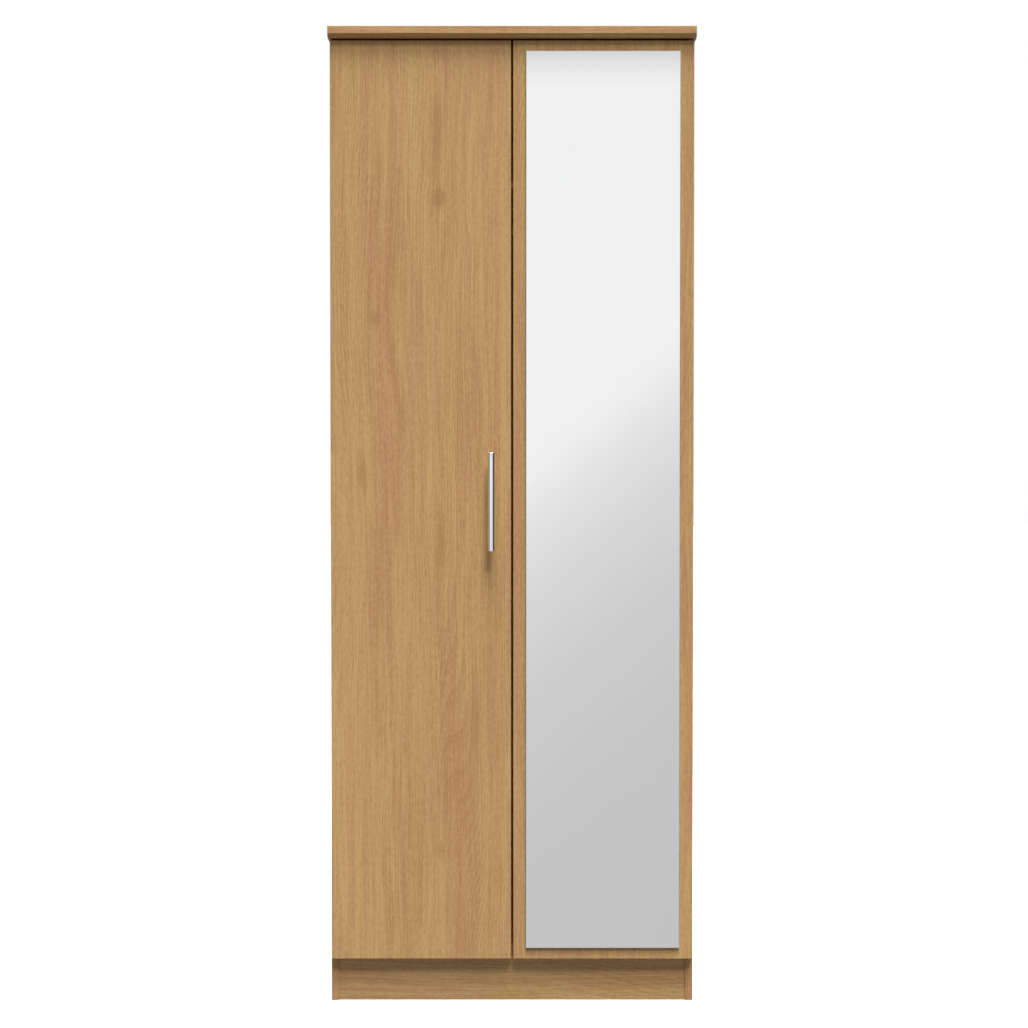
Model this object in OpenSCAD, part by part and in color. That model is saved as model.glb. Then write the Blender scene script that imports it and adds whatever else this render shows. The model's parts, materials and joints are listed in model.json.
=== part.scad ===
// Tall two-door wardrobe with a full-length mirror on its right-hand door.
// Sizes are in millimetres. Z is up and the doors face -Y. The origin is on the floor, under
// the middle of the whole object, whose depth runs from the handle to the rear edges.

/* [Cabinet] */
// Height from the floor to the top
total_h = 1970; // [1960:1:2060]
// Width across the two side panels
carcass_w = 736; // [700:1:800]
// Depth of the side panels
carcass_d = 500; // [460:1:560]
// Thickness of the side, base, shelf and plinth boards
board_t = 15; // [15:0.5:16]
// Thickness of the top panel
top_t = 22; // [18:1:28]
// How far the top stands out past each side
top_side_overhang = 2; // [0:0.5:10]
// How far the top stands out in front of the doors
top_front_overhang = 16; // [4:0.5:20]
// Size of the chamfer under the top's front edge
top_chamfer = 8; // [2:0.5:12]
// Height of the plinth
plinth_h = 95; // [80:1:130]
// How far the plinth stands back from the side panels' front edges
plinth_setback = 3.5; // [1:0.5:10]
// Height of the shelf's underside
shelf_z = 1650; // [1600:1:1700]
// Thickness of the hardboard back
back_t = 3; // [2.5:0.5:4]
// Depth of the recess behind the back
back_recess = 10; // [6:1:16]
// Height of the rail that the wall screws go through
wall_rail_h = 70; // [60:1:90]

/* [Doors] */
// Thickness of the doors
door_t = 18; // [18:1:20]
// Gap between the closed doors and the side panels' front edges
door_back_gap = 2; // [2:0.5:3]
// How far each door stops short of the side panel's outer face
door_side_inset = 1.5; // [1:0.25:2]
// Gap between the two doors
door_middle_gap = 3.5; // [3:0.5:5]
// Height of the doors' bottom edges
door_bottom = 88.5; // [88:0.5:93]
// Gap between the doors and the top's underside
door_top_gap = 3; // [2:0.5:5]
// Rounding of the doors' front edges
door_edge_r = 3; // [1:0.5:4]
// Rounding of the doors' corners, seen from the front
door_corner_r = 3; // [1:0.5:6]

/* [Mirror] */
// Width of the mirror glass
mirror_w = 311; // [200:1:320]
// Height of the mirror glass
mirror_h = 1811; // [1000:1:1825]
// Thickness of the mirror glass
mirror_t = 4; // [3:0.5:5]
// Wood left showing between the mirror and the middle gap
mirror_side_margin = 26; // [20:0.5:40]
// Wood left showing above the mirror
mirror_top_margin = 22; // [15:0.5:40]
// Thickness of the mounting tape behind the glass
tape_t = 1; // [0.8:0.1:1.2]

/* [Handle] */
// Length of the handle's bar
handle_len = 198; // [150:1:260]
// Diameter of the handle's bar
handle_d = 14; // [10:0.5:16]
// How far the handle stands out from the door
handle_projection = 35; // [30:1:45]
// Height of the bar's lower end
handle_bottom = 919; // [800:1:1000]
// Distance from the bar's middle to the door's free edge
handle_edge_gap = 40; // [25:1:60]
// Distance between the two posts
post_spacing = 128; // [96:1:140]
// Diameter of the posts
post_d = 10; // [8:0.5:10]

/* [Hanging rail] */
// Height of the oval tube
rail_h = 30; // [25:1:35]
// Width of the oval tube
rail_w = 15; // [12:1:18]
// Wall of the oval tube
rail_wall = 1.2; // [1:0.1:1.5]
// Distance from the shelf's underside down to the tube's middle
rail_drop = 60; // [50:1:80]

/* [Hinges] */
// Heights of the four hinges on each door
hinge_heights = [190, 735, 1285, 1845]; // [150:1:1860]
// Radius of the hinge cup's bore in the door
cup_bore_r = 17.5; // [17.5:0.1:17.6]
// Depth of the hinge cup's bore
cup_bore_depth = 12.8; // [12.8:0.1:13.2]
// Wood between the cup's bore and the door's edge
cup_edge = 3; // [3:0.1:3.2]
// Radius of the pins that the hinge links turn on
pin_r = 1.1; // [1:0.1:1.1]
// Radial clearance of a link on its pin
pin_clearance = 0.06; // [0.03:0.01:0.1]

/* [Hidden] */

$fn = 48;
// A cut runs this far past the face it opens on
cut = 1;

OAK = [0.74, 0.60, 0.42];
HARDBOARD = [0.62, 0.48, 0.33];
STEEL = [0.74, 0.74, 0.75];
ZINC = [0.60, 0.60, 0.61];
MIRROR = [0.86, 0.88, 0.89];
FOAM = [0.20, 0.20, 0.21];
CLEAR = [0.85, 0.86, 0.86];
NYLON = [0.92, 0.92, 0.90];
BEECH = [0.82, 0.66, 0.46];

// Levels in depth, from the rear edges to the handle
total_d = carcass_d + door_back_gap + door_t + handle_projection;
y_rear = total_d / 2;
y_front = y_rear - carcass_d;
y_door_back = y_front - door_back_gap;
y_door_front = y_door_back - door_t;
y_top_front = y_door_front - top_front_overhang;
y_back = y_rear - back_recess - back_t;

// Levels in width and height
outer_x = carcass_w / 2;
inner_x = outer_x - board_t;
side_h = total_h - top_t;
base_top = plinth_h + board_t;
shelf_top = shelf_z + board_t;
wall_rail_z = side_h - wall_rail_h;
door_top = side_h - door_top_gap;
door_w = outer_x - door_side_inset - door_middle_gap / 2;
door_h = door_top - door_bottom;
mirror_low_x = door_middle_gap / 2 + mirror_side_margin;
mirror_low_z = door_top - mirror_top_margin - mirror_h;

// Grooves that hold the hardboard back
groove_depth = 6;
groove_play = 0.2;

// Dowels, the cams that pull the boards together, and where both stand
dowel_r = 4;
dowel_len = 30;
dowel_in_side = 10;
plinth_dowel_zs = [25, 70];
rail_dowel_inset = 18;
joint_ys = [y_front + 42, y_back - 45];
dowel_ys = [y_front + 102, y_back - 105];
top_fitting_turn = [0, 90, 0];
cam_r = 7.5;
cam_depth = 12.5;
cam_play = 0.1;
cam_setback = 24;
cam_h = 12;
cam_slot = [6, 1.2, 2];
bolt_thread_r = 2.5;
bolt_thread_len = 10;
bolt_shank_r = 2;
bolt_head_r = 3.4;
bolt_head_len = 4;
bolt_bore_r = 4;
bolt_head_play = 0.5;

// Nails along the back, and the wall screws' holes
nail_r = 0.8;
nail_len = 20;
nail_head_r = 2.2;
nail_head_t = 0.8;
nail_xs = [-320, -192, -64, 64, 192, 320];
nail_zs = [plinth_h + board_t / 2, shelf_z + board_t / 2];
wall_hole_x = 200;
wall_hole_r = 2.5;
wall_hole_z = wall_rail_z + wall_rail_h / 2;

// Blocks in the plinth's corners
block_leg = 30;
block_h = 40;
block_z = 28;
block_screw_r = 2;
block_screw_offset = 9;
block_screw_grip = 12;
block_low_screw_z = 12;
block_high_screw_z = 28;
block_seat = 10;
block_head_r = 3.8;
block_head_t = 2.4;
plinth_front_y = y_front + plinth_setback;

// Hanging rail
rail_z = shelf_z - rail_drop;
rail_y = (y_front + y_back) / 2;
socket_plate_t = 2.5;
socket_wall = 2;
socket_depth = 14;
socket_play = 0.2;
socket_screw_z = 26;
socket_end_margin = 7;
socket_screw_r = 1.8;
socket_screw_grip = 12;
socket_head_r = 3.4;
socket_head_t = 1.8;

// Handle
bar_r = handle_d / 2;
bar_x = -(door_middle_gap / 2 + handle_edge_gap);
bar_y = y_door_front - handle_projection + bar_r;
bar_end_chamfer = 0.8;
handle_mid_z = handle_bottom + handle_len / 2;
handle_screw_r = 2;
handle_screw_grip = 12;
handle_head_r = 4;
handle_head_t = 2.2;

// Bumpers on the doors' backs
bumper_r = 4;
bumper_t = 1.7;
bumper_x = 24;

// Strips of tape behind the mirror
tape_w = 19;
tape_end_gap = 60;
tape_count = 4;

// Concealed hinges. Points are [u, v]: u runs from the side panel's outer face towards the
// middle of the wardrobe, and v forwards from the side panel's front edge. Each hinge has an
// outer link on pins A and C, which carries the door, and an inner link on pins B and D.
pin_a = [board_t + 19, -12.55];
pin_b = [board_t + 19, -0.5];
pin_c = [9.5, 4.5];
pin_d = [9.5, 9.5];
// The outer link bends round the side panel's corner, then into the cup
outer_bend = [21.5, 1.5];
outer_knee = [13.8, 8];
// The inner link bends over the cup's rim, and its eye at D is open: the four pins would
// lock without it, so it is larger than the pin and lies a little off the closed pin
inner_knee = [18.5, 10.2];
inner_eye = [9.22, 9.28];
inner_eye_r = 2.62;
inner_eye_wall = 0.7;
link_half_w = 1.9;
link_eye_r = 2.5;
inner_link_z = 2.8;
outer_link_z = 4.4;
outer_link_t = 1.5;
link_bridge = [29, -6];
link_bridge_r = 1.3;

// Hinge arm, with an ear on each side of the links
ear_z = 6.4;
ear_t = 1.2;
ear_nose_r = 2.4;
arm_rear_v = -62;
arm_front_v = -16;
arm_low_u = board_t + 8;
arm_top_u = board_t + 18;
arm_web_t = 1.5;

// Mounting plate under the arm
plate_t = 2.5;
plate_front_v = -24;
plate_rear_v = -56;
plate_wing_v = -37;
plate_wing_half_w = 8;
plate_screw_z = 16;
plate_screw_r = 2.5;
plate_screw_grip = 10;
plate_head_r = 3.8;
plate_head_t = 1.6;
plate_boss_z = 6;
arm_screw_v = -47;
arm_screw_r = 2;
arm_screw_grip = 9;
arm_head_r = 3.6;
arm_head_t = 2;

// Cup in the door
cup_u = door_side_inset + cup_edge + cup_bore_r;
cup_play = 0.1;
cup_wall = 0.9;
cup_floor_t = 0.8;
cup_in_r = cup_bore_r - cup_play - cup_wall;
flange_t = 1.2;
flange_r = 20;
flange_wing_r = 7;
cup_screw_u = cup_u + 9.5;
cup_screw_z = 22.5;
cup_screw_r = 1.8;
cup_screw_grip = 12;
cup_head_r = 3.6;
cup_head_t = 1.2;
pin_wall_z = 10.8;
// How far the studs on pin C stand past the outer link
stud_proud = 0.4;

// ---------------------------------------------------------------- shared shapes

module block_between(low, high) {
    translate(low) cube(high - low);
}

// A flat strip with round ends, from p to q
module strip(p, q, r) {
    run = q - p;
    translate(p) circle(r);
    translate(q) circle(r);
    translate(p) rotate(atan2(run[1], run[0])) translate([0, -r]) square([norm(run), 2 * r]);
}

// An upright oval with round ends
module oval(w, h) {
    strip([0, (w - h) / 2], [0, (h - w) / 2], w / 2);
}

// A round bar along +X, from x0 to x1
module bar_x_between(r, x0, x1) {
    translate([x0, 0, 0]) rotate([0, 90, 0]) cylinder(r = r, h = x1 - x0);
}

// A round bar along +Y, from y0 to y1
module bar_y_between(r, y0, y1) {
    translate([0, y0, 0]) rotate([-90, 0, 0]) cylinder(r = r, h = y1 - y0);
}

// The same thing on the left (side = 0) or the right (side = 1)
module on_side(side) {
    mirror([side, 0, 0]) children();
}

module both_sides() {
    for (side = [0, 1]) on_side(side) children();
}

// ---------------------------------------------------------------- cams and dowels

// Where a board's end meets a side panel: local +X runs into the board, whose lower face is
// local -Z. At the top, the side panel's end meets the top's underside in the same way.
module at_joints(ys) {
    both_sides() {
        for (y = ys, z = [plinth_h, shelf_z]) translate([-inner_x, y, z + board_t / 2]) children();
        for (y = ys) translate([-inner_x - board_t / 2, y, side_h]) rotate(top_fitting_turn) {
            mirror([0, 0, 1]) children();
        }
    }
}

module at_dowels() {
    at_joints(dowel_ys) children();
    both_sides() {
        for (z = plinth_dowel_zs) {
            translate([-inner_x, plinth_front_y + board_t / 2, z]) children();
            translate([-inner_x, y_back - board_t / 2, z]) children();
        }
        for (z = [wall_rail_z + rail_dowel_inset, side_h - rail_dowel_inset]) {
            translate([-inner_x, y_back - board_t / 2, z]) children();
        }
    }
}

module dowel_bores() {
    at_dowels() bar_x_between(dowel_r, -dowel_in_side - cut, dowel_len - dowel_in_side + cut);
}

module dowels() {
    color(BEECH) at_dowels() bar_x_between(dowel_r, -dowel_in_side, dowel_len - dowel_in_side);
}

module cam_bores() {
    at_joints(joint_ys) {
        bar_x_between(bolt_thread_r, -bolt_thread_len - cut, 0);
        bar_x_between(bolt_bore_r, 0, cam_setback);
        translate([cam_setback, 0, -board_t / 2 - cut]) cylinder(r = cam_r, h = cam_depth + cut);
    }
}

module cam_discs() {
    color(ZINC) at_joints(joint_ys) difference() {
        translate([cam_setback, 0, -board_t / 2]) cylinder(r = cam_r - cam_play, h = cam_h);
        block_between(
            [cam_setback - cam_r - cut, -bolt_bore_r, -bolt_bore_r],
            [cam_setback + bolt_head_play, bolt_bore_r, bolt_bore_r]
        );
        // Cross slot for the screwdriver
        for (turn = [0, 90]) translate([cam_setback, 0, -board_t / 2]) rotate(turn) {
            translate([-cam_slot[0] / 2, -cam_slot[1] / 2, -cut]) cube(cam_slot + [0, 0, cut]);
        }
    }
}

module cam_bolts() {
    color(STEEL) at_joints(joint_ys) {
        bar_x_between(bolt_thread_r, -bolt_thread_len, 0);
        bar_x_between(bolt_shank_r, -cut, cam_setback - cut);
        bar_x_between(bolt_head_r, cam_setback - bolt_head_len, cam_setback);
    }
}

// ---------------------------------------------------------------- nails, screws in the boards

module at_nails() {
    for (x = nail_xs, z = nail_zs) translate([x, y_back + back_t, z]) children();
}

module nail_bores() {
    at_nails() bar_y_between(nail_r, -nail_len, cut);
}

module back_panel_nails() {
    color(STEEL) at_nails() {
        bar_y_between(nail_r, -nail_len, nail_head_t);
        bar_y_between(nail_head_r, 0, nail_head_t);
    }
}

// Each corner block stands in a corner of the plinth: local +X runs along the plinth board,
// and local +Y away from it
module at_corner_blocks() {
    both_sides() {
        translate([-inner_x, plinth_front_y + board_t, block_z]) children();
        translate([-inner_x, y_back - board_t, block_z]) mirror([0, 1, 0]) children();
    }
}

// The block's screws: one into the side panel, and a higher one into the plinth board
module at_block_screws() {
    at_corner_blocks() {
        translate([0, block_screw_offset, block_low_screw_z]) children();
        translate([block_screw_offset, 0, block_high_screw_z]) rotate(90) children();
    }
}

module block_screw_bores() {
    at_block_screws() {
        bar_x_between(block_screw_r, -block_screw_grip, block_seat);
        bar_x_between(block_head_r, block_seat, block_leg);
    }
}

module corner_block_screws() {
    color(STEEL) at_block_screws() {
        bar_x_between(block_screw_r, -block_screw_grip, block_seat + cut);
        bar_x_between(block_head_r, block_seat, block_seat + block_head_t);
    }
}

module plinth_corner_blocks() {
    color(NYLON) difference() {
        at_corner_blocks() linear_extrude(block_h) {
            polygon([[0, 0], [block_leg, 0], [0, block_leg]]);
        }
        block_screw_bores();
    }
}

// ---------------------------------------------------------------- boards

module board_bores() {
    dowel_bores();
    cam_bores();
}

// Top: the front edge is upright above and chamfered below
module top_panel() {
    color(OAK) difference() {
        translate([-outer_x - top_side_overhang, 0, 0]) rotate([90, 0, 90]) {
            linear_extrude(carcass_w + 2 * top_side_overhang) polygon([
                [y_rear, side_h],
                [y_top_front + top_chamfer, side_h],
                [y_top_front, side_h + top_chamfer],
                [y_top_front, total_h],
                [y_rear, total_h]
            ]);
        }
        block_between(
            [-inner_x - groove_depth, y_back, side_h - cut],
            [inner_x + groove_depth, y_back + back_t + groove_play, side_h + groove_depth]
        );
        at_joints(dowel_ys) bar_x_between(dowel_r, -dowel_in_side - cut, 0);
        at_joints(joint_ys) bar_x_between(bolt_thread_r, -bolt_thread_len - cut, 0);
    }
}

module side_panel(side) {
    color(OAK) difference() {
        on_side(side) {
            difference() {
                block_between([-outer_x, y_front, 0], [-inner_x, y_rear, side_h]);
                block_between(
                    [-inner_x - groove_depth, y_back, plinth_h],
                    [-inner_x + cut, y_back + back_t + groove_play, side_h + cut]
                );
            }
        }
        board_bores();
        block_screw_bores();
        socket_screw_bores();
        plate_screw_bores(side);
    }
}

module left_side_panel() {
    side_panel(0);
}

module right_side_panel() {
    side_panel(1);
}

module base_panel() {
    color(OAK) difference() {
        block_between([-inner_x, y_front, plinth_h], [inner_x, y_back, base_top]);
        board_bores();
        nail_bores();
    }
}

module hat_shelf() {
    color(OAK) difference() {
        block_between([-inner_x, y_front, shelf_z], [inner_x, y_back, shelf_top]);
        board_bores();
        nail_bores();
    }
}

module plinth_front() {
    color(OAK) difference() {
        block_between(
            [-inner_x, plinth_front_y, 0],
            [inner_x, plinth_front_y + board_t, plinth_h]
        );
        dowel_bores();
        block_screw_bores();
    }
}

module plinth_rear() {
    color(OAK) difference() {
        block_between([-inner_x, y_back - board_t, 0], [inner_x, y_back, plinth_h]);
        dowel_bores();
        block_screw_bores();
    }
}

module wall_holes() {
    for (x = [-wall_hole_x, wall_hole_x]) translate([x, 0, wall_hole_z]) {
        bar_y_between(wall_hole_r, y_back - board_t - cut, y_rear);
    }
}

module wall_fixing_rail() {
    color(OAK) difference() {
        block_between([-inner_x, y_back - board_t, wall_rail_z], [inner_x, y_back, side_h]);
        dowel_bores();
        wall_holes();
    }
}

module back_panel() {
    panel_edge = inner_x + groove_depth - groove_play;
    color(HARDBOARD) difference() {
        block_between(
            [-panel_edge, y_back, plinth_h],
            [panel_edge, y_back + back_t, side_h + groove_depth - groove_play]
        );
        nail_bores();
        wall_holes();
    }
}

// ---------------------------------------------------------------- hanging rail

module hanging_rail() {
    reach = inner_x - socket_plate_t - socket_play;
    color(STEEL) translate([-reach, rail_y, rail_z]) rotate([90, 0, 90]) {
        linear_extrude(2 * reach) difference() {
            oval(rail_w, rail_h);
            oval(rail_w - 2 * rail_wall, rail_h - 2 * rail_wall);
        }
    }
}

module at_socket(side) {
    on_side(side) translate([-inner_x, rail_y, rail_z]) children();
}

module at_socket_screws(side) {
    at_socket(side) for (z = [-socket_screw_z, socket_screw_z]) translate([0, 0, z]) children();
}

module socket_screw_bores() {
    for (side = [0, 1]) at_socket_screws(side) {
        bar_x_between(socket_screw_r, -socket_screw_grip, socket_plate_t + cut);
    }
}

// An oval plate on the side panel, with a collar round the tube's end
module rail_socket(side) {
    grow = 2 * (socket_play + socket_wall);
    color(STEEL) difference() {
        at_socket(side) rotate([90, 0, 90]) {
            linear_extrude(socket_plate_t) oval(rail_w + grow, 2 * (socket_screw_z + socket_end_margin));
            linear_extrude(socket_plate_t + socket_depth) difference() {
                oval(rail_w + grow, rail_h + grow);
                oval(rail_w + 2 * socket_play, rail_h + 2 * socket_play);
            }
        }
        socket_screw_bores();
    }
}

module left_rail_socket() {
    rail_socket(0);
}

module right_rail_socket() {
    rail_socket(1);
}

module rail_socket_screws() {
    color(STEEL) for (side = [0, 1]) at_socket_screws(side) {
        bar_x_between(socket_screw_r, -socket_screw_grip, socket_plate_t + cut);
        bar_x_between(socket_head_r, socket_plate_t, socket_plate_t + socket_head_t);
    }
}

// ---------------------------------------------------------------- hinges

// Hinge frame: local X is u, local Y is v, local Z is up, with 0 at the hinge's middle
module at_hinges(side) {
    on_side(side) for (z = hinge_heights) {
        translate([-outer_x, y_front, z]) mirror([0, 1, 0]) children();
    }
}

module pin_at(place, r, z0, z1) {
    translate([place[0], place[1], z0]) cylinder(r = r, h = z1 - z0);
}

// The same plate above and below the hinge's middle
module plate_pair(z, t) {
    for (flip = [0, 1]) mirror([0, 0, flip]) translate([0, 0, z]) linear_extrude(t) children();
}

module outer_links(side) {
    color(STEEL) at_hinges(side) {
        plate_pair(outer_link_z, outer_link_t) difference() {
            union() {
                translate(pin_a) circle(link_eye_r);
                translate(pin_c) circle(link_eye_r);
                strip(pin_a, outer_bend, link_half_w);
                strip(outer_bend, outer_knee, link_half_w);
                strip(outer_knee, pin_c, link_half_w);
            }
            translate(pin_a) circle(pin_r + pin_clearance);
            translate(pin_c) circle(pin_r + pin_clearance);
        }
        bridge_z = outer_link_z + outer_link_t / 2;
        pin_at(link_bridge, link_bridge_r, -bridge_z, bridge_z);
    }
}

module inner_links(side) {
    color(STEEL) at_hinges(side) plate_pair(0, inner_link_z) difference() {
        union() {
            translate(pin_b) circle(link_eye_r);
            translate(inner_eye) circle(inner_eye_r + inner_eye_wall);
            strip(pin_b, inner_knee, link_half_w);
            strip(inner_knee, inner_eye, link_half_w);
        }
        translate(pin_b) circle(pin_r + pin_clearance);
        translate(inner_eye) circle(inner_eye_r);
    }
}

// Arm: two side plates with a web across their tops, drilled for pins A and B
module hinge_arms(side) {
    color(STEEL) difference() {
        at_hinges(side) {
            plate_pair(ear_z, ear_t) {
                translate([arm_low_u, arm_rear_v]) {
                    square([arm_top_u - arm_low_u, arm_front_v - arm_rear_v]);
                }
                strip([arm_top_u - ear_nose_r, arm_front_v - ear_nose_r], pin_a, ear_nose_r);
                strip(pin_a, pin_b, ear_nose_r);
            }
            block_between(
                [arm_top_u - arm_web_t, arm_rear_v, -ear_z - ear_t / 2],
                [arm_top_u, arm_front_v - 2 * ear_nose_r, ear_z + ear_t / 2]
            );
        }
        at_hinges(side) {
            ear_end = ear_z + ear_t + cut;
            pin_at(pin_a, pin_r, -ear_end, ear_end);
            pin_at(pin_b, pin_r, -ear_end, ear_end);
            translate([0, arm_screw_v, 0]) bar_x_between(arm_screw_r, arm_low_u, arm_top_u + cut);
        }
    }
}

module arm_pins(side) {
    ear_end = ear_z + ear_t;
    color(STEEL) at_hinges(side) {
        pin_at(pin_a, pin_r, -ear_end, ear_end);
        pin_at(pin_b, pin_r, -ear_end, ear_end);
    }
}

module arm_screws(side) {
    color(STEEL) at_hinges(side) translate([0, arm_screw_v, 0]) {
        bar_x_between(arm_screw_r, arm_top_u - arm_screw_grip, arm_top_u + cut);
        bar_x_between(arm_head_r, arm_top_u, arm_top_u + arm_head_t);
    }
}

// Mounting plate: two screwed wings, and a boss that fills the arm's channel
module mounting_plates(side) {
    boss_top = arm_top_u - arm_web_t;
    color(STEEL) difference() {
        at_hinges(side) {
            translate([board_t, plate_wing_v, 0]) rotate([90, 0, 90]) linear_extrude(plate_t) {
                strip([0, -plate_screw_z], [0, plate_screw_z], plate_wing_half_w);
            }
            block_between(
                [board_t, plate_rear_v, -plate_boss_z],
                [boss_top, plate_front_v, plate_boss_z]
            );
        }
        plate_screw_bores(side);
        at_hinges(side) translate([0, arm_screw_v, 0]) {
            bar_x_between(arm_screw_r, arm_top_u - arm_screw_grip, arm_top_u);
        }
    }
}

module at_plate_screws(side) {
    at_hinges(side) for (z = [-plate_screw_z, plate_screw_z]) {
        translate([board_t, plate_wing_v, z]) children();
    }
}

module plate_screw_bores(side) {
    at_plate_screws(side) bar_x_between(plate_screw_r, -plate_screw_grip, plate_t + cut);
}

module plate_screws(side) {
    color(STEEL) at_plate_screws(side) {
        bar_x_between(plate_screw_r, -plate_screw_grip, plate_t + cut);
        bar_x_between(plate_head_r, plate_t, plate_t + plate_head_t);
    }
}

// Cup: a round pot in the door, with a flange on the door's back and two wings for screws
module hinge_cups(side) {
    pot_end = door_back_gap + cup_bore_depth - cup_play;
    color(STEEL) difference() {
        at_hinges(side) {
            translate([cup_u, 0, 0]) bar_y_between(cup_in_r + cup_wall, door_back_gap, pot_end);
            translate([0, door_back_gap, 0]) rotate([90, 0, 0]) linear_extrude(flange_t) intersection() {
                union() {
                    translate([cup_u, 0]) circle(flange_r);
                    for (z = [-cup_screw_z, cup_screw_z]) {
                        strip([cup_screw_u, 0], [cup_screw_u, z], flange_wing_r);
                    }
                }
                translate([door_side_inset + cup_edge, -2 * flange_r]) square(4 * flange_r);
            }
        }
        at_hinges(side) {
            translate([cup_u, 0, 0]) bar_y_between(cup_in_r, -cut, pot_end - cup_floor_t);
            pin_at(pin_c, pin_r, -pin_wall_z, pin_wall_z);
            pin_at(pin_d, pin_r, -pin_wall_z, pin_wall_z);
        }
        cup_screw_bores(side);
    }
}

// Pin D runs right across the cup. Pin C is two studs, clear of the inner link between them.
module cup_pins(side) {
    stud_z = outer_link_z - stud_proud;
    color(STEEL) at_hinges(side) {
        pin_at(pin_d, pin_r, -pin_wall_z, pin_wall_z);
        pin_at(pin_c, pin_r, stud_z, pin_wall_z);
        pin_at(pin_c, pin_r, -pin_wall_z, -stud_z);
    }
}

module at_cup_screws(side) {
    at_hinges(side) for (z = [-cup_screw_z, cup_screw_z]) {
        translate([cup_screw_u, door_back_gap, z]) children();
    }
}

module cup_screw_bores(side) {
    at_cup_screws(side) bar_y_between(cup_screw_r, -flange_t - cut, cup_screw_grip);
}

module cup_screws(side) {
    color(STEEL) at_cup_screws(side) {
        bar_y_between(cup_screw_r, -flange_t - cut, cup_screw_grip);
        bar_y_between(cup_head_r, -flange_t - cup_head_t, -flange_t);
    }
}

module left_mounting_plates() { mounting_plates(0); }
module right_mounting_plates() { mounting_plates(1); }
module left_plate_screws() { plate_screws(0); }
module right_plate_screws() { plate_screws(1); }
module left_hinge_arms() { hinge_arms(0); }
module right_hinge_arms() { hinge_arms(1); }
module left_arm_pins() { arm_pins(0); }
module right_arm_pins() { arm_pins(1); }
module left_arm_screws() { arm_screws(0); }
module right_arm_screws() { arm_screws(1); }
module left_outer_links() { outer_links(0); }
module right_outer_links() { outer_links(1); }
module left_inner_links() { inner_links(0); }
module right_inner_links() { inner_links(1); }
module left_hinge_cups() { hinge_cups(0); }
module right_hinge_cups() { hinge_cups(1); }
module left_cup_pins() { cup_pins(0); }
module right_cup_pins() { cup_pins(1); }
module left_cup_screws() { cup_screws(0); }
module right_cup_screws() { cup_screws(1); }

// ---------------------------------------------------------------- doors

// Outline of a board whose two front corners are rounded. The front is towards -Y.
module rounded_front(w, t, r) {
    translate([0, r]) square([w, t - r]);
    translate([r, 0]) square([w - 2 * r, t]);
    translate([r, r]) circle(r);
    translate([w - r, r]) circle(r);
}

// A rectangle with round corners, whose lower left corner is at the origin
module rounded_rectangle(w, h, r) {
    translate([0, r]) square([w, h - 2 * r]);
    translate([r, 0]) square([w - 2 * r, h]);
    for (x = [r, w - r], y = [r, h - r]) translate([x, y]) circle(r);
}

// A door with round corners and all its front edges eased, bored for the hinge cups
module door_panel(side) {
    low_x = -door_middle_gap / 2 - door_w;
    color(OAK) difference() {
        on_side(side) intersection() {
            translate([low_x, y_door_front, door_bottom]) {
                linear_extrude(door_h) rounded_front(door_w, door_t, door_edge_r);
            }
            translate([0, y_door_front, door_bottom]) rotate([0, -90, 0]) {
                linear_extrude(outer_x) rounded_front(door_h, door_t, door_edge_r);
            }
            translate([low_x, y_door_back, door_bottom]) rotate([90, 0, 0]) {
                linear_extrude(door_t) rounded_rectangle(door_w, door_h, door_corner_r);
            }
        }
        at_hinges(side) translate([cup_u, door_back_gap, 0]) {
            bar_y_between(cup_bore_r, -cut, cup_bore_depth);
        }
        cup_screw_bores(side);
        if (side == 0) handle_screw_bores();
    }
}

module left_door_panel() {
    door_panel(0);
}

module right_door_panel() {
    door_panel(1);
}

module door_bumpers(side) {
    color(CLEAR) on_side(side) for (z = nail_zs) {
        translate([-bumper_x, y_door_back, z]) bar_y_between(bumper_r, 0, bumper_t);
    }
}

module left_door_bumpers() {
    door_bumpers(0);
}

module right_door_bumpers() {
    door_bumpers(1);
}

// ---------------------------------------------------------------- handle

module handle_bar() {
    color(STEEL) translate([bar_x, bar_y, handle_bottom]) {
        cylinder(r1 = bar_r - bar_end_chamfer, r2 = bar_r, h = bar_end_chamfer);
        translate([0, 0, bar_end_chamfer]) cylinder(r = bar_r, h = handle_len - 2 * bar_end_chamfer);
        translate([0, 0, handle_len - bar_end_chamfer]) {
            cylinder(r1 = bar_r, r2 = bar_r - bar_end_chamfer, h = bar_end_chamfer);
        }
    }
}

module at_posts() {
    for (z = [-post_spacing / 2, post_spacing / 2]) {
        translate([bar_x, y_door_front, handle_mid_z + z]) children();
    }
}

// Posts whose ends are shaped to sit against the bar
module handle_posts() {
    color(STEEL) difference() {
        at_posts() bar_y_between(post_d / 2, bar_y - y_door_front, 0);
        translate([bar_x, bar_y, handle_bottom]) cylinder(r = bar_r, h = handle_len);
        handle_screw_bores();
    }
}

module handle_screw_bores() {
    at_posts() bar_y_between(handle_screw_r, -handle_screw_grip, door_t + cut);
}

module handle_screws() {
    color(STEEL) at_posts() {
        bar_y_between(handle_screw_r, -handle_screw_grip, door_t + cut);
        bar_y_between(handle_head_r, door_t, door_t + handle_head_t);
    }
}

// ---------------------------------------------------------------- mirror

module mirror_glass() {
    color(MIRROR) translate([mirror_low_x, y_door_front - tape_t - mirror_t, mirror_low_z]) {
        cube([mirror_w, mirror_t, mirror_h]);
    }
}

// Upright strips of tape, evenly spread across the glass
module mirror_tape() {
    pitch = mirror_w / tape_count;
    tape_len = mirror_h - 2 * tape_end_gap;
    color(FOAM) for (i = [0 : tape_count - 1]) {
        x = mirror_low_x + (i + 0.5) * pitch - tape_w / 2;
        translate([x, y_door_front - tape_t, mirror_low_z + tape_end_gap]) {
            cube([tape_w, tape_t, tape_len]);
        }
    }
}

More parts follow.
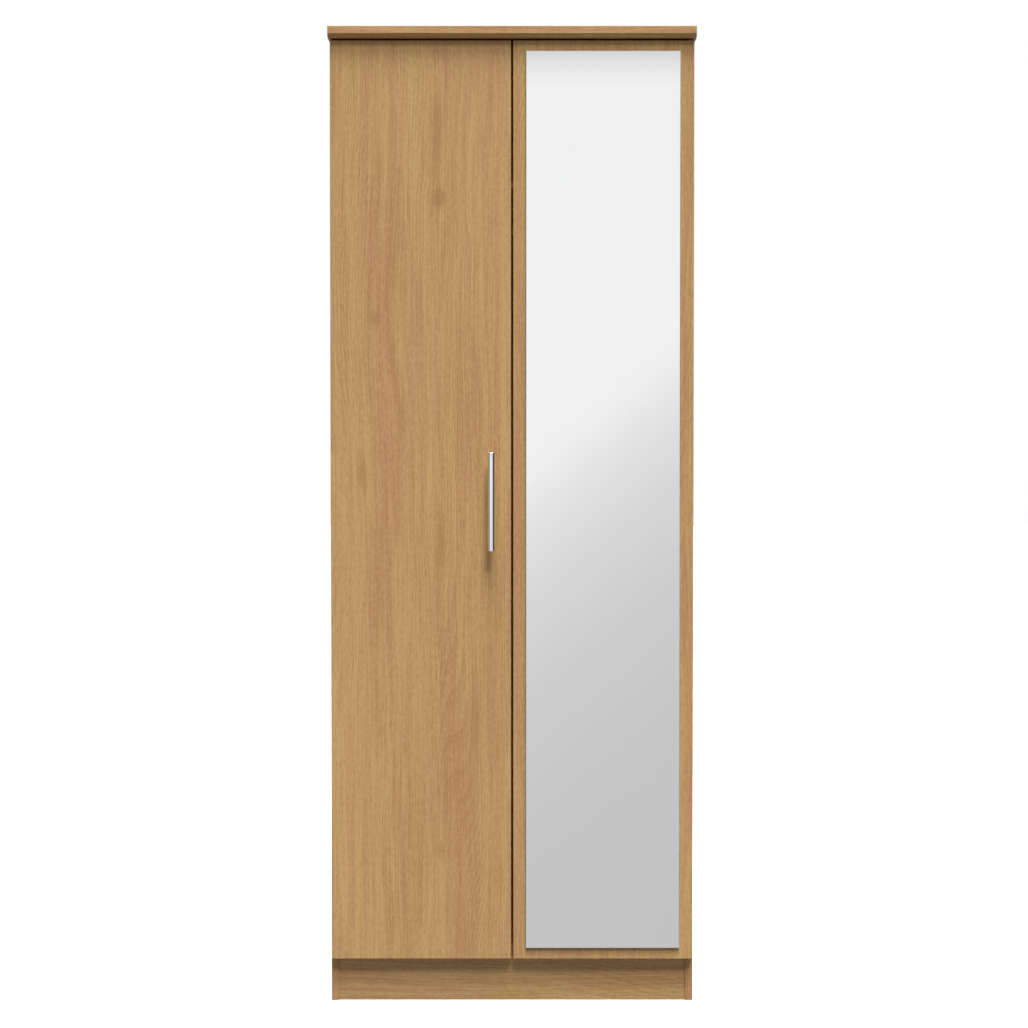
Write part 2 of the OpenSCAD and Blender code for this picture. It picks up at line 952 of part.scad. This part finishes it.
top_panel();
left_side_panel();
right_side_panel();
base_panel();
hat_shelf();
plinth_front();
plinth_rear();
plinth_corner_blocks();
corner_block_screws();
back_panel();
back_panel_nails();
wall_fixing_rail();
cam_discs();
cam_bolts();
dowels();
hanging_rail();
left_rail_socket();
right_rail_socket();
rail_socket_screws();
left_mounting_plates();
right_mounting_plates();
left_plate_screws();
right_plate_screws();
left_hinge_arms();
right_hinge_arms();
left_arm_pins();
right_arm_pins();
left_arm_screws();
right_arm_screws();
left_outer_links();
right_outer_links();
left_inner_links();
right_inner_links();
left_door_panel();
left_hinge_cups();
left_cup_pins();
left_cup_screws();
left_door_bumpers();
handle_bar();
handle_posts();
handle_screws();
right_door_panel();
right_hinge_cups();
right_cup_pins();
right_cup_screws();
right_door_bumpers();
mirror_glass();
mirror_tape();
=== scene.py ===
"""Looks for a tall two-door wardrobe with a mirrored door. Lengths are in metres."""

import json
import math

import bmesh
import bpy
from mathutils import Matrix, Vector


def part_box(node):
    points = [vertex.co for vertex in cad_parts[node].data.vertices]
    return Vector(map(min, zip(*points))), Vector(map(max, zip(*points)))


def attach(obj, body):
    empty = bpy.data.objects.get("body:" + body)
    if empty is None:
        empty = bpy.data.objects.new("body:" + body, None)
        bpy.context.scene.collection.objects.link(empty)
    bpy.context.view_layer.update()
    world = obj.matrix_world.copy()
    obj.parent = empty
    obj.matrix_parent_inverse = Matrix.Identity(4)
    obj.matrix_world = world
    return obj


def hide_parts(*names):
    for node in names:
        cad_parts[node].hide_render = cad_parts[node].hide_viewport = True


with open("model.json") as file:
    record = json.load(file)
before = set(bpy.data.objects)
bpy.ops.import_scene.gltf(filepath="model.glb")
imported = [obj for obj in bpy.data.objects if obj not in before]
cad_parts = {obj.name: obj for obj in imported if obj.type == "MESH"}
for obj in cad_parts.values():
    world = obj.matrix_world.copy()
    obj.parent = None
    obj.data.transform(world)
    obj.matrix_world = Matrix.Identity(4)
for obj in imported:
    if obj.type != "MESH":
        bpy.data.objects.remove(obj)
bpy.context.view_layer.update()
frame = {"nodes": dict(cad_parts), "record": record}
NODES = frame["nodes"]
BODY_OF = {n: b for b, ns in frame["record"]["behaviour"]["bodies"].items() for n in ns}
SLOT_OF = {s["node"]: s["material_slot"] for s in frame["record"]["subparts"]}
DOOR_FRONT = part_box("left_door_panel")[0].y

# ------------------------------------------------------------------ camera

CAMERA_DISTANCE = 4.413
CAMERA_HEIGHT = 1.110
CAMERA_SIDE = 0.0039
CAMERA_PITCH = math.radians(-1.52)
CAMERA_LENS = 76.55


def make_camera():
    data = bpy.data.cameras.new("camera")
    data.lens = CAMERA_LENS
    data.sensor_width = 36.0
    data.clip_end = 200.0
    camera = bpy.data.objects.new("camera", data)
    camera.location = (CAMERA_SIDE, DOOR_FRONT - CAMERA_DISTANCE, CAMERA_HEIGHT)
    camera.rotation_euler = (math.pi / 2 + CAMERA_PITCH, 0.0, 0.0)
    bpy.context.collection.objects.link(camera)
    bpy.context.scene.camera = camera


# ------------------------------------------------------------------ node graphs


class Graph:
    """Short calls for building a material's or the world's nodes."""

    def __init__(self, tree):
        self.tree = tree
        tree.nodes.clear()

    def node(self, kind, **settings):
        made = self.tree.nodes.new(kind)
        for name, value in settings.items():
            setattr(made, name, value)
        return made

    def set(self, socket, value):
        if isinstance(value, bpy.types.NodeSocket):
            self.tree.links.new(value, socket)
        elif value is not None:
            socket.default_value = value

    def math(self, operation, a, b=None, c=None):
        made = self.node("ShaderNodeMath", operation=operation)
        for socket, value in zip(made.inputs, (a, b, c)):
            self.set(socket, value)
        return made.outputs[0]

    def split(self, vector):
        made = self.node("ShaderNodeSeparateXYZ")
        self.set(made.inputs[0], vector)
        return made.outputs

    def join(self, x, y, z):
        made = self.node("ShaderNodeCombineXYZ")
        for socket, value in zip(made.inputs, (x, y, z)):
            self.set(socket, value)
        return made.outputs[0]

    def noise(self, vector, scale=1.0, detail=2.0, roughness=0.5, distortion=0.0):
        made = self.node("ShaderNodeTexNoise")
        self.set(made.inputs["Vector"], vector)
        made.inputs["Scale"].default_value = scale
        made.inputs["Detail"].default_value = detail
        made.inputs["Roughness"].default_value = roughness
        made.inputs["Distortion"].default_value = distortion
        return made.outputs["Fac"]

    def remap(self, value, low, high, to_low=0.0, to_high=1.0, smooth=False):
        made = self.node("ShaderNodeMapRange", clamp=True)
        if smooth:
            made.interpolation_type = "SMOOTHSTEP"
        for name, v in zip(("Value", "From Min", "From Max", "To Min", "To Max"),
                           (value, low, high, to_low, to_high)):
            self.set(made.inputs[name], v)
        return made.outputs[0]

    def mix(self, share, a, b):
        made = self.node("ShaderNodeMix", data_type="RGBA")
        self.set(made.inputs["Factor"], share)
        self.set(made.inputs["A"], a)
        self.set(made.inputs["B"], b)
        return made.outputs["Result"]

    def tint(self, value, low, high, strength, colour, shade):
        """Mixes shade into colour, from none where value is low to strength where it is high."""
        return self.mix(self.remap(value, low, high, 0.0, strength), colour, shade)

    def scaled(self, point, rates):
        """The point with each coordinate multiplied by its own rate."""
        return self.join(*(self.math("MULTIPLY", v, rate) for v, rate in zip(point, rates)))

    def bump(self, height, distance, strength=1.0):
        made = self.node("ShaderNodeBump")
        made.inputs["Distance"].default_value = distance
        made.inputs["Strength"].default_value = strength
        self.set(made.inputs["Height"], height)
        return made.outputs["Normal"]

    def place(self):
        return self.node("ShaderNodeTexCoord").outputs["Object"]


def shader(name):
    """A new material: its graph and its Principled shader."""
    material = bpy.data.materials.new(name)
    material.use_nodes = True
    graph = Graph(material.node_tree)
    principled = graph.node("ShaderNodeBsdfPrincipled")
    output = graph.node("ShaderNodeOutputMaterial")
    graph.set(output.inputs["Surface"], principled.outputs["BSDF"])
    return material, graph, principled


def rgb(red, green, blue):
    """A colour given in sRGB bytes, as the linear colour a shader takes."""
    def linear(value):
        value /= 255.0
        return value / 12.92 if value <= 0.04045 else ((value + 0.055) / 1.055) ** 2.4
    return (linear(red), linear(green), linear(blue), 1.0)


# ------------------------------------------------------------------ oak foil

OAK_YELLOW = rgb(197, 162, 105)
OAK_PINK = rgb(186, 141, 100)
OAK_DARK = rgb(160, 116, 72)
OAK_PORE = rgb(134, 92, 54)
OAK_LIGHT = rgb(208, 172, 120)
# How far a board's figure is moved along the grain for each metre that it is moved across
RUN_SHIFT = 7.3
# Figure lines a metre, and how many lines the slow swell moves them by
RINGS = 170.0
RING_SWELL = 46.0
PORE_DEPTH = 0.00010


def oak(name, along, offset, knots=()):
    """Light oak foil. along is the grain's axis. Each knot has a place, a reach and a strength."""
    material, g, principled = shader(name)
    x, y, z = g.split(g.place())
    across, depth, run = {"Z": (x, y, z), "X": (z, y, x), "Y": (x, z, y)}[along]
    across = g.math("ADD", across, offset)
    run = g.math("ADD", run, offset * RUN_SHIFT)

    def wander(rates, detail, reach):
        """A smooth sideways shift of the figure, up to about half of reach either way."""
        noise = g.noise(g.scaled((across, depth, run), rates), detail=detail)
        return g.math("MULTIPLY", g.math("SUBTRACT", noise, 0.5), reach)

    drift = wander((3.0, 3.0, 1.3), 1.5, 0.050)
    wave = wander((14.0, 14.0, 7.0), 2.0, 0.009)
    bent = g.math("ADD", across, g.math("ADD", drift, wave))

    def streaks(per_metre, along_rate, detail, rough=0.5, shift=0.0):
        point = (g.math("ADD", bent, shift), depth, run)
        return g.noise(g.scaled(point, (per_metre, per_metre, along_rate)), detail=detail,
                       roughness=rough)

    # Strips of yellower and pinker wood, some with a sharp edge
    strip = g.node("ShaderNodeTexVoronoi", feature="F1")
    g.set(strip.inputs["Vector"], g.scaled((bent, depth, run), (17.0, 6.0, 0.8)))
    strip_tone = g.split(strip.outputs["Color"])[0]
    broad = streaks(19.0, 0.8, 2.0, 0.6, shift=3.1)
    tone = g.math("ADD", g.math("MULTIPLY", strip_tone, 0.50), g.remap(broad, 0.34, 0.66, 0.0, 0.50))
    blush = streaks(78.0, 1.3, 3.0, 0.65, shift=6.1)
    tone = g.math("ADD", tone, g.remap(blush, 0.30, 0.70, -0.18, 0.18))
    colour = g.tint(tone, 0.12, 0.88, 1.0, OAK_YELLOW, OAK_PINK)

    # Growth rings: fine lines that close into long arches where the figure turns
    swell = g.noise(g.scaled((bent, depth, run), (5.0, 5.0, 0.9)), detail=1.0, roughness=0.4)
    ring = g.math("FRACT", g.math("ADD", g.math("MULTIPLY", bent, RINGS),
                                  g.math("MULTIPLY", swell, RING_SWELL)))
    line = g.math("MULTIPLY", g.remap(ring, 0.0, 0.75, 1.0, 0.0), g.remap(ring, 1.0, 0.9))
    patch = g.remap(streaks(9.0, 1.6, 2.0, shift=7.7), 0.40, 0.60, 0.04, 0.46, smooth=True)
    colour = g.mix(g.math("MULTIPLY", line, patch), colour, OAK_DARK)

    # Soft streaks, pinstripes, and flecks a few millimetres long
    medium = streaks(48.0, 1.5, 3.0, 0.55, shift=1.3)
    colour = g.tint(medium, 0.46, 0.74, 0.25, colour, OAK_DARK)
    colour = g.tint(medium, 0.48, 0.28, 0.19, colour, OAK_LIGHT)
    fine = streaks(330.0, 5.0, 3.0, 0.65, shift=5.2)
    colour = g.tint(fine, 0.48, 0.70, 0.49, colour, OAK_DARK)
    colour = g.tint(fine, 0.48, 0.30, 0.43, colour, OAK_LIGHT)
    fleck = streaks(230.0, 95.0, 2.0, 0.6, shift=4.6)
    colour = g.tint(fleck, 0.52, 0.72, 0.32, colour, OAK_DARK)
    colour = g.tint(fleck, 0.48, 0.28, 0.30, colour, OAK_LIGHT)

    # Short dark pores in patches
    pores = streaks(560.0, 52.0, 1.0, 0.5, shift=9.4)
    porous = g.remap(streaks(26.0, 4.0, 1.0, shift=2.2), 0.40, 0.62, 0.2, 1.0)
    pore_mask = g.math("MULTIPLY", g.remap(pores, 0.62, 0.72), porous)
    colour = g.mix(g.math("MULTIPLY", pore_mask, 0.30), colour, OAK_PORE)

    # Soft knots, each a smudge whose edge follows the streaks
    for (knot_x, knot_z), (reach_x, reach_z), strength in knots:
        dx = g.math("DIVIDE", g.math("SUBTRACT", bent, knot_x + offset), reach_x)
        dz = g.math("DIVIDE", g.math("SUBTRACT", run, knot_z + offset * RUN_SHIFT), reach_z)
        far = g.math("SQRT", g.math("ADD", g.math("MULTIPLY", dx, dx), g.math("MULTIPLY", dz, dz)))
        far = g.math("ADD", far, g.math("MULTIPLY", g.math("SUBTRACT", medium, 0.5), 2.4))
        smudge = g.remap(far, 1.0, 0.0, 0.0, strength, smooth=True)
        colour = g.mix(smudge, colour, OAK_DARK)

    g.set(principled.inputs["Base Color"], colour)
    rough = g.math("ADD", g.remap(medium, 0.3, 0.7, 0.46, 0.54), g.math("MULTIPLY", pore_mask, 0.12))
    g.set(principled.inputs["Roughness"], rough)
    principled.inputs["Specular IOR Level"].default_value = 0.25
    height = g.math("SUBTRACT", g.math("MULTIPLY", fine, 0.35), pore_mask)
    g.set(principled.inputs["Normal"], g.bump(height, PORE_DEPTH, 0.5))
    return material


# ------------------------------------------------------------------ other materials


def hardboard():
    """Smooth brown hardboard with pressed fibres."""
    material, g, principled = shader("hardboard")
    place = g.place()
    fibre = g.noise(place, 420.0, 5.0, 0.7, 0.6)
    cloud = g.noise(place, 7.0, 3.0, 0.55)
    colour = g.mix(g.remap(fibre, 0.35, 0.65), rgb(142, 104, 66), rgb(176, 136, 92))
    colour = g.mix(g.remap(cloud, 0.35, 0.7, 0.0, 0.22), colour, rgb(128, 92, 58))
    g.set(principled.inputs["Base Color"], colour)
    g.set(principled.inputs["Roughness"], g.remap(fibre, 0.3, 0.7, 0.55, 0.72))
    g.set(principled.inputs["Normal"], g.bump(fibre, 0.0003, 0.5))
    return material


def beech():
    """Turned beech with short flecks."""
    material, g, principled = shader("beech")
    fleck = g.noise(g.scaled(g.split(g.place()), (60.0, 900.0, 900.0)), detail=2.0)
    colour = g.mix(g.remap(fleck, 0.4, 0.65), rgb(214, 178, 132), rgb(184, 142, 98))
    g.set(principled.inputs["Base Color"], colour)
    g.set(principled.inputs["Roughness"], g.remap(fleck, 0.3, 0.7, 0.5, 0.62))
    g.set(principled.inputs["Normal"], g.bump(fleck, 0.0001, 0.5))
    return material


def metal(name, low, high, rough_low, rough_high, grain, stretch, bump=0.00004, hazy=0.05):
    """Plated or brushed metal. grain is marks a metre, stretch draws them out along an axis."""
    material, g, principled = shader(name)
    rates = [grain / s for s in stretch]
    brush = g.noise(g.scaled(g.split(g.place()), rates), detail=3.0, roughness=0.6)
    haze = g.noise(g.place(), 35.0, 2.0)
    g.set(principled.inputs["Base Color"], g.mix(g.remap(brush, 0.3, 0.7), low, high))
    rough = g.math("ADD", g.remap(brush, 0.3, 0.7, rough_low, rough_high),
                   g.remap(haze, 0.4, 0.7, 0.0, hazy))
    g.set(principled.inputs["Roughness"], rough)
    principled.inputs["Metallic"].default_value = 1.0
    g.set(principled.inputs["Normal"], g.bump(brush, bump, 0.4))
    return material


def plastic(name, low, high, rough_low, rough_high, grain, bump):
    """Moulded or foamed plastic with a fine skin texture."""
    material, g, principled = shader(name)
    skin = g.noise(g.place(), grain, 4.0, 0.6)
    g.set(principled.inputs["Base Color"], g.mix(g.remap(skin, 0.35, 0.65), low, high))
    g.set(principled.inputs["Roughness"], g.remap(skin, 0.3, 0.7, rough_low, rough_high))
    g.set(principled.inputs["Normal"], g.bump(skin, bump, 0.5))
    return material


def silvered():
    """The mirror: silvering seen through clear glass, with a trace of cleaning haze."""
    material, g, principled = shader("mirror_silver")
    haze = g.noise(g.place(), 3.0, 4.0, 0.6, 0.4)
    g.set(principled.inputs["Base Color"], g.mix(g.remap(haze, 0.3, 0.7),
                                                 (0.955, 0.957, 0.960, 1), (0.945, 0.950, 0.952, 1)))
    g.set(principled.inputs["Roughness"], g.remap(haze, 0.45, 0.8, 0.004, 0.016))
    principled.inputs["Metallic"].default_value = 1.0
    return material


def glass_edge():
    """The mirror's ground edge: grey-green, slightly milky."""
    material, g, principled = shader("mirror_edge")
    grind = g.noise(g.place(), 900.0, 3.0, 0.6)
    g.set(principled.inputs["Base Color"], g.mix(g.remap(grind, 0.35, 0.65),
                                                 rgb(150, 163, 160), rgb(186, 196, 194)))
    g.set(principled.inputs["Roughness"], g.remap(grind, 0.3, 0.7, 0.16, 0.30))
    g.set(principled.inputs["Normal"], g.bump(grind, 0.00003, 0.4))
    return material


def mirror_back():
    """Grey protective paint behind the silvering."""
    material, g, principled = shader("mirror_back_paint")
    skin = g.noise(g.place(), 500.0, 3.0)
    g.set(principled.inputs["Base Color"], g.mix(g.remap(skin, 0.35, 0.65),
                                                 rgb(112, 116, 120), rgb(126, 130, 133)))
    g.set(principled.inputs["Roughness"], g.remap(skin, 0.3, 0.7, 0.5, 0.62))
    g.set(principled.inputs["Normal"], g.bump(skin, 0.00003, 0.4))
    return material


# ------------------------------------------------------------------ pieces


def add_piece(name, mesh, materials, body, replaced):
    piece = bpy.data.objects.new(name, mesh)
    bpy.context.collection.objects.link(piece)
    for material in materials:
        mesh.materials.append(material)
    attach(piece, body)
    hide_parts(*replaced)
    return piece


WELD = 1e-6
FLAT_WITHIN = math.radians(0.5)
SHARP_FROM = math.radians(40)
EASE_SEGMENTS = 2


def softened(node, width, material):
    """A copy of a CAD board whose sharp edges are eased, as foil-wrapped edges are."""
    source = NODES[node]
    mesh = source.data.copy()
    mesh.materials.clear()
    welded = bmesh.new()
    welded.from_mesh(mesh)
    bmesh.ops.remove_doubles(welded, verts=welded.verts, dist=WELD)
    bmesh.ops.dissolve_limit(welded, angle_limit=FLAT_WITHIN, verts=welded.verts,
                             edges=welded.edges)
    welded.to_mesh(mesh)
    welded.free()
    piece = add_piece(f"{node}_finished", mesh, [material], BODY_OF[node], [node])
    for polygon in mesh.polygons:
        polygon.use_smooth = True
    bevel = piece.modifiers.new("eased_edges", "BEVEL")
    bevel.width = width
    bevel.segments = EASE_SEGMENTS
    bevel.limit_method = "ANGLE"
    bevel.angle_limit = SHARP_FROM
    weigh = piece.modifiers.new("flat_faces", "WEIGHTED_NORMAL")
    weigh.mode = "FACE_AREA"
    weigh.weight = 100
    return piece


def turned(name, profile, base, axis, steps, material, body, replaced):
    """A solid of revolution. profile is (radius, height) points from end to end."""
    shape = bmesh.new()
    up = Vector(axis)
    side = up.orthogonal().normalized()
    other = up.cross(side)
    rings = []
    for radius, height in profile:
        if radius == 0:
            rings.append([shape.verts.new(Vector(base) + up * height)])
            continue
        turn = [2 * math.pi * i / steps for i in range(steps)]
        rings.append([
            shape.verts.new(Vector(base) + up * height
                            + radius * (math.cos(t) * side + math.sin(t) * other))
            for t in turn
        ])
    for low, high in zip(rings, rings[1:]):
        for i in range(steps):
            j = (i + 1) % steps
            if len(low) == 1:
                shape.faces.new((low[0], high[j], high[i]))
            elif len(high) == 1:
                shape.faces.new((low[i], low[j], high[0]))
            else:
                shape.faces.new((low[i], low[j], high[j], high[i]))
    bmesh.ops.recalc_face_normals(shape, faces=shape.faces)
    mesh = bpy.data.meshes.new(name)
    shape.to_mesh(mesh)
    shape.free()
    for polygon in mesh.polygons:
        polygon.use_smooth = True
    return add_piece(name, mesh, [material], body, replaced)


# Quarter round at the handle bar's ends, and how far inside it a ring keeps the end face flat
BAR_END_ROUND = 0.0009
BAR_RING_INSET = 0.0004
BAR_STEPS = 64


def make_handle_bar(material):
    """The bar, with its ends eased by a small quarter round."""
    low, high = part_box("handle_bar")
    radius = (high.x - low.x) / 2
    length = high.z - low.z
    inner = radius - BAR_END_ROUND
    quarter = [math.radians(a) for a in (0, 22.5, 45, 67.5, 90)]
    start = [(inner + BAR_END_ROUND * math.sin(a), BAR_END_ROUND * (1 - math.cos(a))) for a in quarter]
    end = [(r, length - h) for r, h in reversed(start)]
    flat = inner - BAR_RING_INSET
    profile = [(0, 0), (flat, 0), *start, *end, (flat, length), (0, length)]
    base = ((low.x + high.x) / 2, (low.y + high.y) / 2, low.z)
    return turned("handle_bar_finished", profile, base, (0, 0, 1), BAR_STEPS, material,
                  BODY_OF["handle_bar"], ["handle_bar"])


MIRROR_ARRIS = 0.0012
# A face whose normal has at least this share along an axis is square to it
FACES_AXIS = 0.999


def make_mirror():
    """A glass sheet with a narrow ground arris, a silvered face and a painted back."""
    low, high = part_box("mirror_glass")
    shape = bmesh.new()
    sheet = bmesh.ops.create_cube(shape, size=1.0)["verts"]
    size = high - low
    for vert in sheet:
        vert.co = Vector(c * s for c, s in zip(vert.co, size)) + (low + high) / 2
    bmesh.ops.bevel(shape, geom=list(shape.edges), offset=MIRROR_ARRIS, segments=3, affect="EDGES",
                    profile=0.5, clamp_overlap=True)
    mesh = bpy.data.meshes.new("mirror_sheet")
    front, edge, back = 0, 1, 2
    for face in shape.faces:
        face.smooth = False
        face.material_index = edge
        if face.normal.y < -FACES_AXIS:
            face.material_index = front
        elif face.normal.y > FACES_AXIS:
            face.material_index = back
    shape.to_mesh(mesh)
    shape.free()
    return add_piece("mirror_sheet", mesh, [silvered(), glass_edge(), mirror_back()],
                     BODY_OF["mirror_glass"], ["mirror_glass"])


# ------------------------------------------------------------------ stage

FLOOR_WHITE = (0.93, 0.93, 0.93, 1)
FLOOR_GREY = (0.91, 0.91, 0.91, 1)
FLOOR_REACH = 30.0
# The floor lies this far under the wardrobe, so that the two faces don't flicker
FLOOR_DROP = 0.0002


def make_floor():
    mesh = bpy.data.meshes.new("floor")
    corners = [(x * FLOOR_REACH, y * FLOOR_REACH, 0) for x, y in ((-1, -1), (1, -1), (1, 1), (-1, 1))]
    mesh.from_pydata(corners, [], [(0, 1, 2, 3)])
    floor = bpy.data.objects.new("floor", mesh)
    floor.location.z = -FLOOR_DROP
    bpy.context.collection.objects.link(floor)
    floor.visible_glossy = False
    floor.visible_diffuse = False
    material, g, principled = shader("studio_floor")
    grain = g.noise(g.place(), 3.0, 2.0)
    g.set(principled.inputs["Base Color"], g.mix(grain, FLOOR_WHITE, FLOOR_GREY))
    principled.inputs["Roughness"].default_value = 0.8
    principled.inputs["Specular IOR Level"].default_value = 0.1
    principled.inputs["Emission Color"].default_value = (1, 1, 1, 1)
    principled.inputs["Emission Strength"].default_value = 0.35
    mesh.materials.append(material)


# Each soft distant light: from the wardrobe towards it, its spread in degrees, and its strength
LIGHTS = {
    "key": ((0.27, -1.0, 1.40), 12, 1.71),
    "overhead": ((0.03, -0.27, 1.0), 22, 4.50),
    "left_fill": ((-1.0, 0.15, 0.42), 20, 1.15),
    "right_fill": ((1.0, 0.15, 0.42), 20, 1.15),
    "rear_fill": ((-0.3, 1.0, 0.42), 20, 1.15),
}
LIGHT_DISTANCE = 6


def make_lights():
    for name, (towards, spread, strength) in LIGHTS.items():
        data = bpy.data.lights.new(name, "SUN")
        data.energy = strength
        data.angle = math.radians(spread)
        light = bpy.data.objects.new(name, data)
        light.location = Vector(towards) * LIGHT_DISTANCE
        light.rotation_euler = Vector(towards).to_track_quat("Z", "Y").to_euler()
        bpy.context.collection.objects.link(light)


# What shiny surfaces see of the studio
SCREEN_WHITE = (0.925, 0.925, 0.925, 1)
SCREEN_GREY = (0.565, 0.553, 0.558, 1)
SCREEN_SLANT = 0.817
SCREEN_START = 0.009
SCREEN_FADE = 0.0755
SCREEN_EDGE = (0.30, 0.29, 0.29, 1)
DARK_FLAG = (0.05, 0.055, 0.06, 1)
GREY_FLAG = (0.20, 0.19, 0.18, 1)
STUDIO_BEHIND = (0.62, 0.62, 0.62, 1)
# What lights matt surfaces from below and from above
SOFT_BELOW = (0.41, 0.41, 0.41, 1)
SOFT_ABOVE = (0.09, 0.09, 0.095, 1)


def make_world():
    """Soft white surround. What shiny surfaces see fades to grey below a slanted line."""
    world = bpy.data.worlds.new("studio")
    bpy.context.scene.world = world
    world.use_nodes = True
    g = Graph(world.node_tree)
    direction = g.node("ShaderNodeTexCoord").outputs["Generated"]
    x, y, z = g.split(direction)
    forward = g.math("MAXIMUM", g.math("ABSOLUTE", y), 0.05)
    rise = g.math("DIVIDE", z, forward)
    turn = g.math("DIVIDE", x, forward)

    # A white screen that fades to grey below a slanted line
    slant = g.math("MULTIPLY", g.math("MINIMUM", turn, 0.12), SCREEN_SLANT)
    below = g.math("SUBTRACT", g.math("SUBTRACT", slant, SCREEN_START), rise)
    below = g.math("SMOOTH_MAX", below, 0.0, 0.012)
    fade = g.math("EXPONENT", g.math("DIVIDE", below, -SCREEN_FADE))
    seen = g.mix(fade, SCREEN_GREY, SCREEN_WHITE)

    # The screen's upper edge straight ahead, and plain white to its right
    ahead = g.remap(g.math("ABSOLUTE", turn), 0.45, 0.20)
    edge = g.math("MULTIPLY", g.remap(rise, 0.166, 0.190), g.remap(rise, 0.240, 0.200))
    edge = g.math("MULTIPLY", g.math("POWER", edge, 1.8), g.math("MULTIPLY", ahead, 0.6))
    seen = g.mix(edge, seen, SCREEN_EDGE)
    seen = g.mix(g.remap(turn, 0.14, 0.25), seen, SCREEN_WHITE)

    # A low dark flag stands beyond the lights on the right, and a grey one on the left
    flag = g.remap(g.math("ABSOLUTE", z), 0.40, 0.20)
    seen = g.mix(g.math("MULTIPLY", g.remap(turn, 0.95, 1.15), flag), seen, DARK_FLAG)
    seen = g.mix(g.math("MULTIPLY", g.remap(turn, -1.0, -1.4), flag), seen, GREY_FLAG)
    seen = g.mix(g.remap(y, -0.02, 0.15), seen, STUDIO_BEHIND)

    path = g.node("ShaderNodeLightPath")
    soft = g.mix(g.remap(z, -0.15, 0.15), SOFT_BELOW, SOFT_ABOVE)
    soft = g.mix(path.outputs["Is Glossy Ray"], soft, seen)
    colour = g.mix(path.outputs["Is Camera Ray"], soft, (1, 1, 1, 1))
    background = g.node("ShaderNodeBackground")
    g.set(background.inputs["Color"], colour)
    output = g.node("ShaderNodeOutputWorld")
    g.set(output.inputs["Surface"], background.outputs[0])


# ------------------------------------------------------------------ the wardrobe

BOARD_EASE = 0.0006
TOP_EASE = 0.0012

left_low, left_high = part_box("left_door_panel")


def on_left_door(share_x, share_z):
    """A place on the left door, as shares of its width and height."""
    size = left_high - left_low
    return (left_low.x + share_x * size.x, left_low.z + share_z * size.z)


LEFT_DOOR_KNOTS = (
    (on_left_door(0.60, 0.83), (0.026, 0.030), 0.62),
    (on_left_door(0.58, 0.90), (0.013, 0.130), 0.55),
    (on_left_door(0.27, 0.70), (0.017, 0.022), 0.50),
    (on_left_door(0.17, 0.53), (0.014, 0.060), 0.50),
    (on_left_door(0.60, 0.45), (0.014, 0.110), 0.55),
    (on_left_door(0.59, 0.12), (0.024, 0.034), 0.55),
    (on_left_door(0.80, 0.26), (0.016, 0.120), 0.40),
)

# Each board: the axis its grain runs along, and a shift that gives it its own figure
GRAIN = {
    "top_panel": ("X", 0.37),
    "left_side_panel": ("Z", 1.91),
    "right_side_panel": ("Z", 2.73),
    "base_panel": ("X", 3.17),
    "hat_shelf": ("X", 4.41),
    "plinth_front": ("X", 5.29),
    "plinth_rear": ("X", 6.83),
    "wall_fixing_rail": ("X", 7.57),
    "left_door_panel": ("Z", 0.83),
    "right_door_panel": ("Z", 1.37),
}

make_camera()
make_world()
make_lights()
make_floor()

for board, (along, offset) in GRAIN.items():
    knots = LEFT_DOOR_KNOTS if board == "left_door_panel" else ()
    ease = TOP_EASE if board == "top_panel" else BOARD_EASE
    softened(board, ease, oak(f"oak_{board}", along, offset, knots))

handle_steel = metal("handle_steel", rgb(236, 237, 238), rgb(246, 246, 246), 0.035, 0.06, 2500.0,
                     (1, 1, 80), 0.000001, 0.02)
rail_steel = metal("rail_chrome", rgb(212, 213, 215), rgb(228, 229, 231), 0.26, 0.32, 900.0,
                   (30, 1, 1))
hinge_steel = metal("hinge_nickel", rgb(204, 202, 198), rgb(220, 218, 214), 0.30, 0.42, 1500.0,
                    (1, 4, 1))
fastener_steel = metal("fastener_zinc", rgb(178, 180, 182), rgb(204, 205, 206), 0.28, 0.42, 1800.0,
                       (1, 1, 1))
zinc = metal("cast_zinc", rgb(148, 149, 152), rgb(172, 173, 176), 0.40, 0.55, 2500.0, (1, 1, 1),
             0.00008)

LOOKS = {
    "hardboard": hardboard(),
    "beech": beech(),
    "handle_steel": handle_steel,
    "rail_steel": rail_steel,
    "hinge_steel": hinge_steel,
    "fastener_steel": fastener_steel,
    "zinc": zinc,
    "nylon": plastic("nylon", rgb(226, 224, 216), rgb(236, 234, 228), 0.38, 0.48, 700.0, 0.00004),
    "foam_tape": plastic("foam_tape", rgb(34, 34, 36), rgb(52, 52, 54), 0.75, 0.9, 2600.0, 0.0001),
    "clear_rubber": plastic("clear_rubber", rgb(158, 158, 152), rgb(176, 176, 170), 0.22, 0.3,
                            300.0, 0.00002),
}

make_handle_bar(handle_steel)
make_mirror()

remade = set(GRAIN) | {"handle_bar", "mirror_glass"}
for name, node in NODES.items():
    if name not in remade:
        node.data.materials.clear()
        node.data.materials.append(LOOKS[SLOT_OF[name]])

bpy.context.scene.view_settings.view_transform = "Standard"
